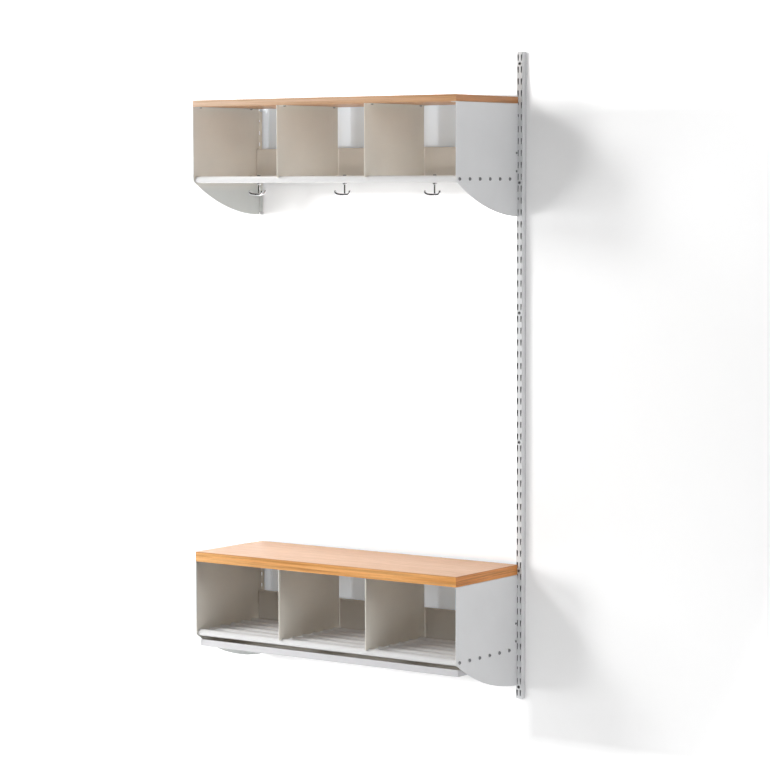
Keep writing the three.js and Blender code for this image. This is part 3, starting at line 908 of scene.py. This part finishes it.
def make_runner(side, inward):
    node = f"tray_runner_{side}"
    box_low, box_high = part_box(node)
    web_x = box_low.x if inward > 0 else box_high.x
    path = rounded([(0, box_high.z - box_low.z), (0, 0), (box_high.x - box_low.x, 0)])
    start = Vector((web_x, box_low.y, box_low.z))
    end = Vector((web_x, box_high.y, box_low.z))
    bm = bmesh.new()
    sweep(bm, start, end, path, RIGHT * inward, UP)
    bmesh.ops.recalc_face_normals(bm, faces=bm.faces)
    bm.normal_update()
    biggest = max(bm.faces, key=lambda face: face.calc_area())
    outward = -RIGHT * inward if abs(biggest.normal.x) > 0.5 else -UP
    thing = sheet_object(f"{node}_angle", bm, outward, SHEET_PAINT)
    seat(thing, "rack", "sheet_paint", node)


# Boards

def make_board(unit, band, end_band):
    node = f"{unit}_board"
    bm = block(*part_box(node))
    # Top, front and back, and the ends, whose darker band is painted shade
    for face in bm.faces:
        normal = face.normal
        face.material_index = 0 if abs(normal.z) > 0.5 else 1 if abs(normal.y) > 0.5 else 2
    bmesh.ops.bevel(
        bm, geom=bm.edges[:], offset=BOARD_EDGE, segments=BOARD_EDGE_STEPS,
        profile=BOARD_EDGE_PROFILE, affect="EDGES", material=-1,
    )
    thing = new_object(f"{node}_laminate", mesh_from(node, bm), WOOD_TOP, band, end_band)
    seat(smooth(thing), "rack", "board_laminate", node)


# Tubes

def make_tube(node):
    box_low, box_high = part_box(node)
    centre = (box_low + box_high) / 2
    half = (box_high.x - box_low.x) / 2
    floor = TUBE_RADIUS - half
    profile = [
        (0, floor), (SCREW_HOLE, floor), (SCREW_HOLE, -half), (TUBE_RADIUS - TUBE_EDGE, -half),
        (TUBE_RADIUS - TUBE_EDGE_STEP, TUBE_EDGE_STEP - half), (TUBE_RADIUS, TUBE_EDGE - half),
    ]
    mirrored = [(radius, -height) for radius, height in reversed(profile)]
    mesh = mesh_from(node, lathe(profile + mirrored, TUBE_SIDES))
    thing = new_object(f"{node}_round", mesh, TUBE_PAINT)
    thing.data.transform(Matrix.Translation(centre) @ Matrix.Rotation(math.pi / 2, 4, "Y"))
    seat(smooth(thing), "rack", "tube_paint", node)


# Screws

def screw_mesh(name, sizes, material, crown=CROWN):
    """A round head on a shank along Z, seated at zero, with a hexagonal socket."""
    head, height, shank, length, socket = sizes
    profile = [(0, -length), (shank * (1 - SHANK_CHAMFER), -length)]
    profile += [(shank, -length + shank * SHANK_CHAMFER), (shank, 0), (head, 0)]
    for step in range(1, CROWN_STEPS + 1):
        turn = step / CROWN_STEPS * math.pi / 2
        profile.append((head * (1 - (1 - crown) * (1 - math.cos(turn))), height * math.sin(turn)))
    profile.append((0, height))
    body = new_object(name, mesh_from(name, lathe(profile, SCREW_SIDES)), material, SOCKET)
    bm = bmesh.new()
    bmesh.ops.create_cone(
        bm, cap_ends=True, segments=SOCKET_SIDES, radius1=socket, radius2=socket,
        depth=height * SOCKET_CUT, matrix=Matrix.Translation(UP * height),
    )
    cutter = new_object("socket_cutter", mesh_from("socket_cutter", bm), SOCKET)
    cut = body.modifiers.new("socket", "BOOLEAN")
    cut.operation = "DIFFERENCE"
    cut.solver = "EXACT"
    cut.object = cutter
    cut.material_mode = "TRANSFER"
    mesh = smooth(finished(body)).data
    bpy.data.objects.remove(cutter)
    bpy.data.objects.remove(body)
    return mesh


def place_screw(name, mesh, place, direction, *nodes):
    """A screw whose head is at a place and looks in a direction."""
    thing = new_object(name, mesh)
    turn = UP.rotation_difference(direction).to_matrix().to_4x4()
    thing.matrix_world = Matrix.Translation(place) @ turn
    seat(thing, "rack", "zinc_screw", *nodes)


def make_screws():
    tube_mesh = screw_mesh("tube_screw", TUBE_SCREW, ZINC)
    panel_mesh = screw_mesh("panel_screw", PANEL_SCREW, ZINC)
    board_mesh = screw_mesh("board_screw", BOARD_SCREW, ZINC)
    wall_mesh = screw_mesh("wall_screw", WALL_SCREW, ZINC, WALL_SCREW_CROWN)
    lowest_mesh = screw_mesh("lowest_wall_screw", WALL_SCREW, BLACKED, WALL_SCREW_CROWN)
    for unit in UNITS:
        for side, x, way in (("left", LEFT_X, -1), ("right", RIGHT_X, 1)):
            outward = RIGHT * way
            for index in range(TUBE_COUNT):
                node = f"{unit}_screw_{side}_{index + 1}"
                place = Vector((x, FRONT_Y + tube_depth(index), AXIS_Z[unit]))
                place_screw(f"{node}_head", tube_mesh, place + outward * SCREW_PLAY, outward, node)
            for number, above in enumerate(PANEL_SCREW_HEIGHTS):
                place = Vector((x, FRONT_Y + GABLE_DEPTH - PANEL_SCREW_REAR, AXIS_Z[unit] + above))
                place_screw(f"{unit}_panel_screw_{side}_{number + 1}", panel_mesh, place, outward)
        flanges = {"gable_left": LEFT_X, "gable_right": RIGHT_X - BOARD_SCREW_INSET * 2}
        flanges["divider_left"] = low(f"{unit}_divider_left").x
        flanges["divider_right"] = low(f"{unit}_divider_right").x
        for sheet, x in flanges.items():
            for number, depth in enumerate(BOARD_SCREW_DEPTHS):
                place = Vector((x + BOARD_SCREW_INSET, FRONT_Y + depth, TOP_Z[unit] - SHEET))
                place_screw(f"{unit}_board_screw_{sheet}_{number + 1}", board_mesh, place, -UP)
    top = high("upright").z
    for number, row in enumerate(WALL_HOLE_ROWS):
        foot = top - FIRST_SLOT_DROP - SLOT_LENGTH - row * SLOT_PITCH
        height = foot - (SLOT_PITCH - SLOT_LENGTH) / 2
        mesh = lowest_mesh if row == WALL_HOLE_ROWS[-1] else wall_mesh
        place = Vector((0, low("upright").y - WALL_SCREW_PLAY, height))
        place_screw(f"wall_screw_{number + 1}", mesh, place, -BACK)


# Coat hooks

def curve_place(points, share):
    """A place on a cubic curve with four control points."""
    a, b, c, d = points
    rest = 1 - share
    near = a * rest ** 3 + b * (3 * rest ** 2 * share)
    return near + c * (3 * rest * share ** 2) + d * share ** 3


def bar(points, height, width):
    """A bar with rounded edges, taller than wide, along a smooth path in the plane of X and Z."""
    section = []
    for step in range(BAR_SIDES):
        turn = math.tau * (step + 0.5) / BAR_SIDES
        tall, wide = math.sin(turn), math.cos(turn)
        squared = (abs(tall) ** BAR_POWER + abs(wide) ** BAR_POWER) ** (-1 / BAR_POWER)
        section.append((tall * squared * height / 2, wide * squared * width / 2))
    bm = bmesh.new()
    rings = []
    for step in range(BAR_STEPS + 1):
        share = step / BAR_STEPS
        place = curve_place(points, share)
        ahead = curve_place(points, min(1, share + TANGENT_STEP))
        above = (ahead - curve_place(points, max(0, share - TANGENT_STEP))).normalized().cross(BACK)
        rings.append([bm.verts.new(place + above * tall + BACK * wide) for tall, wide in section])
    for first, second in zip(rings, rings[1:]):
        for index in range(BAR_SIDES):
            after = (index + 1) % BAR_SIDES
            bm.faces.new((first[index], first[after], second[after], second[index]))
    bm.faces.new(rings[0])
    bm.faces.new(rings[-1])
    bmesh.ops.recalc_face_normals(bm, faces=bm.faces)
    return mesh_from("bar", bm)


def hook_mesh():
    """The cast hook: a stem and three arms that turn up into round tips, blended together."""
    bm = bmesh.new()

    def ball(radius, matrix):
        bmesh.ops.create_uvsphere(
            bm, u_segments=BALL_SIDES, v_segments=BALL_RINGS, radius=radius, matrix=matrix)

    top = -TUBE_RADIUS - COLLAR_HEIGHT * STEM_START
    bmesh.ops.create_cone(
        bm, cap_ends=True, segments=STEM_SIDES, radius1=STEM_RADIUS, radius2=STEM_RADIUS,
        depth=top + ARM_DROP, matrix=Matrix.Translation(UP * ((top - ARM_DROP) / 2)),
    )
    start = Vector((0, 0, -ARM_DROP))
    flat_end = Vector((ARM_REACH * ARM_FLAT, 0, -ARM_DROP))
    lift = Vector((ARM_REACH, 0, -ARM_DROP + (ARM_DROP - TIP_DROP) * ARM_LIFT))
    tip = Vector((ARM_REACH, 0, -TIP_DROP))
    ball(FOOT_RADIUS, Matrix.Translation(start))
    for arm in range(HOOK_ARMS):
        turn = Matrix.Rotation(math.tau * arm / HOOK_ARMS, 4, "Z")
        piece = bar((start, flat_end, lift, tip), ARM_HEIGHT, ARM_WIDTH)
        piece.transform(turn)
        bm.from_mesh(piece)
        ball(TIP_RADIUS, turn @ Matrix.Translation(tip))
    thing = new_object("hook_form", mesh_from("hook_form", bm), CHROME)
    remesh = thing.modifiers.new("blend", "REMESH")
    remesh.mode = "VOXEL"
    remesh.voxel_size = BLEND_SIZE
    relax = thing.modifiers.new("relax", "SMOOTH")
    relax.factor = RELAX_FACTOR
    relax.iterations = RELAX_STEPS
    finished(thing)
    bm = bmesh.new()
    bm.from_mesh(thing.data)
    bpy.data.objects.remove(thing)
    seat_z = -TUBE_RADIUS - SCREW_PLAY
    foot_z = seat_z - COLLAR_HEIGHT
    narrow = COLLAR_RADIUS - COLLAR_EDGE
    profile = [(0, foot_z), (narrow, foot_z), (COLLAR_RADIUS, foot_z + COLLAR_EDGE)]
    profile += [(COLLAR_RADIUS, seat_z - COLLAR_EDGE), (narrow, seat_z), (0, seat_z)]
    bm.from_mesh(mesh_from("collar", lathe(profile, COLLAR_SIDES)))
    return mesh_from("hook", bm)


def make_hooks():
    shape = hook_mesh()
    bolt = screw_mesh("hook_bolt", HOOK_BOLT, BOLT_PLATE)
    for index, side in enumerate(("left", "middle", "right")):
        node = f"coat_hook_{index + 1}"
        bolt_node = f"hook_bolt_{index + 1}"
        box_low, box_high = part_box(bolt_node)
        centre = (box_low + box_high) / 2
        centre.z = AXIS_Z["shelf"]
        thing = new_object(f"{node}_cast", shape.copy(), CHROME)
        turn = Matrix.Rotation(math.radians(HOOK_TURNS[index]) + math.pi, 4, "Z")
        thing.data.transform(Matrix.Translation(centre) @ turn)
        seat(smooth(thing, HOOK_CRISP_ANGLE), f"hook_{side}", "chrome_plate", node)
        cap = new_object(f"{bolt_node}_head", bolt)
        cap.matrix_world = Matrix.Translation(centre + UP * (TUBE_RADIUS + SCREW_PLAY))
        seat(cap, f"hook_{side}", "chrome_plate", bolt_node)


# Studio: a wall, a floor, what shades the lamps, the room, the lamps and the camera

def stage_material(name):
    """White paint that keeps shadows near the object, with a cool painted shade in the cubbies and
    dark painted shade behind the upright; it is seen through from behind.
    """
    material, tree, shader = new_material(name)
    shader.inputs["Roughness"].default_value = STAGE_ROUGHNESS
    shader.inputs["Specular IOR Level"].default_value = 0
    place = add(tree, "ShaderNodeTexCoord").outputs["Object"]
    away = add(tree, "ShaderNodeVectorMath", {0: place, 1: GLOW_CENTRE}, operation="SUBTRACT")
    inputs = {0: away.outputs[0], 1: GLOW_RADII}
    away = add(tree, "ShaderNodeVectorMath", inputs, operation="DIVIDE")
    reach = add(tree, "ShaderNodeVectorMath", {0: away.outputs[0]}, operation="LENGTH")

    def product(*values):
        return chain(tree, "MULTIPLY", *values)

    def highest(*values):
        return chain(tree, "MAXIMUM", *values)

    def rest(value):
        return chain(tree, "SUBTRACT", 1.0, value)

    def in_x(*stretches, soft=True):
        return product(*(along(tree, "X", *ends, smooth=soft) for ends in stretches))

    def in_z(*stretches, soft=True):
        return product(*(along(tree, "Z", *ends, smooth=soft) for ends in stretches))

    left = in_x(GLOW_LEFT, soft=False)
    right = in_x(GLOW_RIGHT_START, soft=False)
    beneath = product(in_z(GLOW_MIDDLE_BENEATH_SHELF), in_x(GLOW_MIDDLE))
    beneath = highest(beneath, in_z(GLOW_LEFT_BENEATH_SHELF))
    on_left = highest(product(beneath, in_z(GLOW_LEFT_OVER_BENCH)), in_z(GLOW_LEFT_ABOVE))
    on_right = product(highest(in_z(GLOW_RIGHT_ABOVE), in_z(GLOW_RIGHT_BELOW)), in_x(GLOW_RIGHT))
    at_bench = in_z(LOW_CUBBIES)
    bands = highest(
        product(on_left, left),
        product(on_right, right),
        product(in_z(GLOW_LEFT_BELOW), in_x(GLOW_BELOW_WIDTH)),
        in_z(GLOW_OVER_UPRIGHT),
        product(in_z(*UNDER_SHELF), in_x(UNDER_SHELF_END), GLOW_UNDER_SHELF),
        product(in_x(*CREASE), rest(product(at_bench, LOW_CREASE_LOSS)), GLOW_CREASE),
        in_x(*BEHIND_GABLES, soft=False),
    )
    cubbies = chain(tree, "ADD", product(at_bench, GLOW_LOW_CUBBIES), GLOW_CUBBIES)
    bands = chain(tree, "ADD", bands, product(cubbies, left))
    bands = product(along(tree, "Y", *GLOW_WALL_ONLY), bands)
    beside = product(in_z(*BESIDE_SHELF), in_x(BESIDE_SHELF_END), right)
    far = add(tree, "ShaderNodeMapRange", {
        "Value": reach.outputs["Value"], "From Min": GLOW_REACH[0], "From Max": GLOW_REACH[1],
        "To Min": product(rest(beside), GLOW_NEAR),
    }, interpolation_type="SMOOTHSTEP")
    # Behind the upright the wall is painted dark and does not glow: painted shade
    hidden = product(in_x(*BEHIND_UPRIGHT[:2], soft=False), in_z(*BEHIND_UPRIGHT[2:], soft=False))
    level = product(highest(bands, far.outputs["Result"]), rest(hidden))
    # Painted cool shade on the wall in the cubbies
    tinted = product(left, highest(in_z(*TINTED_HEIGHTS[:2]), in_z(*TINTED_HEIGHTS[2:])))
    inputs = {"Factor": tinted, 6: WALL_WHITE, 7: WALL_CUBBY_SHADE_TINT}
    tint = add(tree, "ShaderNodeMix", inputs, data_type="RGBA")
    inputs = {"Factor": hidden, 6: tint.outputs[2], 7: WALL_PAINTED_SHADE}
    dark = add(tree, "ShaderNodeMix", inputs, data_type="RGBA")
    tree.links.new(dark.outputs[2], shader.inputs["Base Color"])
    path = add(tree, "ShaderNodeLightPath").outputs
    seen = highest(path["Is Camera Ray"], path["Is Glossy Ray"], path["Is Transmission Ray"])
    glow = add(tree, "ShaderNodeEmission", {"Strength": product(seen, level)})
    lit = add(tree, "ShaderNodeAddShader", {0: shader.outputs["BSDF"], 1: glow.outputs["Emission"]})
    clear = add(tree, "ShaderNodeBsdfTransparent")
    behind = add(tree, "ShaderNodeNewGeometry").outputs["Backfacing"]
    mix = add(tree, "ShaderNodeMixShader", {0: behind, 1: lit.outputs[0], 2: clear.outputs[0]})
    tree.links.new(mix.outputs[0], tree.nodes["Material Output"].inputs["Surface"])
    return material


def scrim_material(name, density, top=None):
    """Dark cloth that lets a part of the light through; with a top it thins out below it."""
    material, tree, shader = new_material(name)
    shader.inputs["Base Color"].default_value = (CLOTH_TONE, CLOTH_TONE, CLOTH_TONE, 1)
    clear = add(tree, "ShaderNodeBsdfTransparent")
    inputs = {0: density, 1: clear.outputs[0], 2: shader.outputs["BSDF"]}
    if top is not None:
        inputs[0] = chain(tree, "MULTIPLY", along(tree, "Z", top - SHADE_DROP, top), density)
    mix = add(tree, "ShaderNodeMixShader", inputs)
    tree.links.new(mix.outputs[0], tree.nodes["Material Output"].inputs["Surface"])
    return material


def shade_only(thing):
    """A part of the studio that only shades: no camera or mirror sees it."""
    thing.visible_camera = False
    thing.visible_glossy = False


def make_stage():
    paint = stage_material("studio_white")
    x, end = WALL_ENDS
    corners = [(x, FLOOR_Z), (end, FLOOR_Z), (end, WALL_TOP), (x, WALL_TOP)]
    flat("backdrop", [(x, WALL_Y, z) for x, z in corners], paint)
    x, end = FLOOR_ENDS
    corners = [(x, WALL_Y), (x, FLOOR_FRONT), (end, FLOOR_FRONT), (end, WALL_Y)]
    flat("floor", [(x, y, FLOOR_Z) for x, y in corners], paint)
    for unit in UNITS:
        flag_low = Vector((LEFT_X - FLAG_SIZE, -FLAG_SIZE, low(f"{unit}_gable_left").z))
        flag = mesh_from("lamp_flag", block(flag_low, Vector((LEFT_X, 0, TOP_Z[unit]))))
        shade_only(new_object(f"{unit}_lamp_flag", flag, paint))
    y = FRONT_Y + SHADE_DEPTH
    under = low("bench_board").z
    foot = under - SHADE_DROP
    corners = [(LEFT_X, y, foot), (RIGHT_X, y, foot), (RIGHT_X, y, under), (LEFT_X, y, under)]
    shade_only(flat("bench_scrim", corners, scrim_material("bench_scrim", SHADE_DENSITY, under)))
    cloth = scrim_material("side_scrim", SIDE_SCRIM_DENSITY)
    x = LEFT_X - SIDE_SCRIM_GAP
    for unit in UNITS:
        gable_low, gable_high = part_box(f"{unit}_gable_left")
        front, top = gable_low.y - SIDE_SCRIM_MARGIN, gable_high.z + SIDE_SCRIM_MARGIN
        foot, back = gable_low.z, gable_high.y
        corners = [(x, front, foot), (x, back, foot), (x, back, top), (x, front, top)]
        shade_only(flat(f"{unit}_side_scrim", corners, cloth))


def make_world():
    """A dim room in front of the wall; what lies behind the wall is white to camera and mirrors."""
    world = bpy.data.worlds.new("studio")
    bpy.context.scene.world = world
    world.use_nodes = True
    tree = world.node_tree
    background = tree.nodes["Background"]
    direction = add(tree, "ShaderNodeTexCoord").outputs["Generated"]
    split = add(tree, "ShaderNodeSeparateXYZ", {"Vector": direction})
    behind = chain(tree, "GREATER_THAN", split.outputs["Y"], 0.0)
    path = add(tree, "ShaderNodeLightPath").outputs
    mirrored = chain(tree, "MULTIPLY", path["Is Glossy Ray"], behind)
    seen = chain(tree, "MAXIMUM", path["Is Camera Ray"], path["Is Transmission Ray"], mirrored)
    strength = add(tree, "ShaderNodeMix", {0: seen, 2: ROOM_LIGHT, 3: 1.0}, data_type="FLOAT")
    tree.links.new(strength.outputs[0], background.inputs["Strength"])
    background.inputs["Color"].default_value = (1, 1, 1, 1)


def make_lamps():
    """Round soft lamps about the object, the strongest of them at the left."""
    for number, (azimuth, distance, height, aim, width, power, mirrored) in enumerate(LAMPS):
        turn = math.radians(azimuth)
        place = LAMP_CENTRE + Vector((math.sin(turn), -math.cos(turn), 0)) * distance + UP * height
        data = bpy.data.lights.new(f"lamp_{number + 1}", "AREA")
        data.shape = "DISK"
        data.size = width
        data.energy = power
        lamp = new_object(f"lamp_{number + 1}", data)
        lamp.location = place
        lamp.rotation_euler = (LAMP_CENTRE + UP * aim - place).to_track_quat("-Z", "Y").to_euler()
        lamp.visible_camera = False
        lamp.visible_glossy = mirrored


def make_camera():
    data = bpy.data.cameras.new("camera")
    data.lens = CAMERA_LENS
    data.sensor_width = CAMERA_SENSOR
    data.clip_end = CAMERA_RANGE
    camera = new_object("camera", data)
    yaw, pitch, roll = (math.radians(angle) for angle in (CAMERA_YAW, CAMERA_PITCH, CAMERA_ROLL))
    ahead = Vector((-math.sin(yaw), math.cos(yaw), 0))
    right = Vector((math.cos(yaw), math.sin(yaw), 0))
    forward = ahead * math.cos(pitch) - UP * math.sin(pitch)
    above = ahead * math.sin(pitch) + UP * math.cos(pitch)
    tilted_right = right * math.cos(roll) + above * math.sin(roll)
    tilted_up = above * math.cos(roll) - right * math.sin(roll)
    matrix = Matrix((tilted_right, tilted_up, -forward)).transposed().to_4x4()
    camera.matrix_world = Matrix.Translation(CAMERA_PLACE) @ matrix
    bpy.context.scene.camera = camera


make_camera()
make_upright()
for unit in UNITS:
    make_gable(unit, "left", LEFT_X, 1)
    make_gable(unit, "right", RIGHT_X, -1)
    make_divider(unit, "left")
    make_divider(unit, "right")
    make_back_panel(unit)
    for index in range(TUBE_COUNT):
        make_tube(f"{unit}_tube_{index + 1}")
make_board("shelf", SHELF_BAND, SHELF_END_PAINTED_SHADE)
make_board("bench", BENCH_BAND, BENCH_END_PAINTED_SHADE)
make_tray()
make_runner("left", 1)
make_runner("right", -1)
make_screws()
make_hooks()
make_stage()
make_world()
make_lamps()
bpy.context.scene.view_settings.view_transform = "Standard"
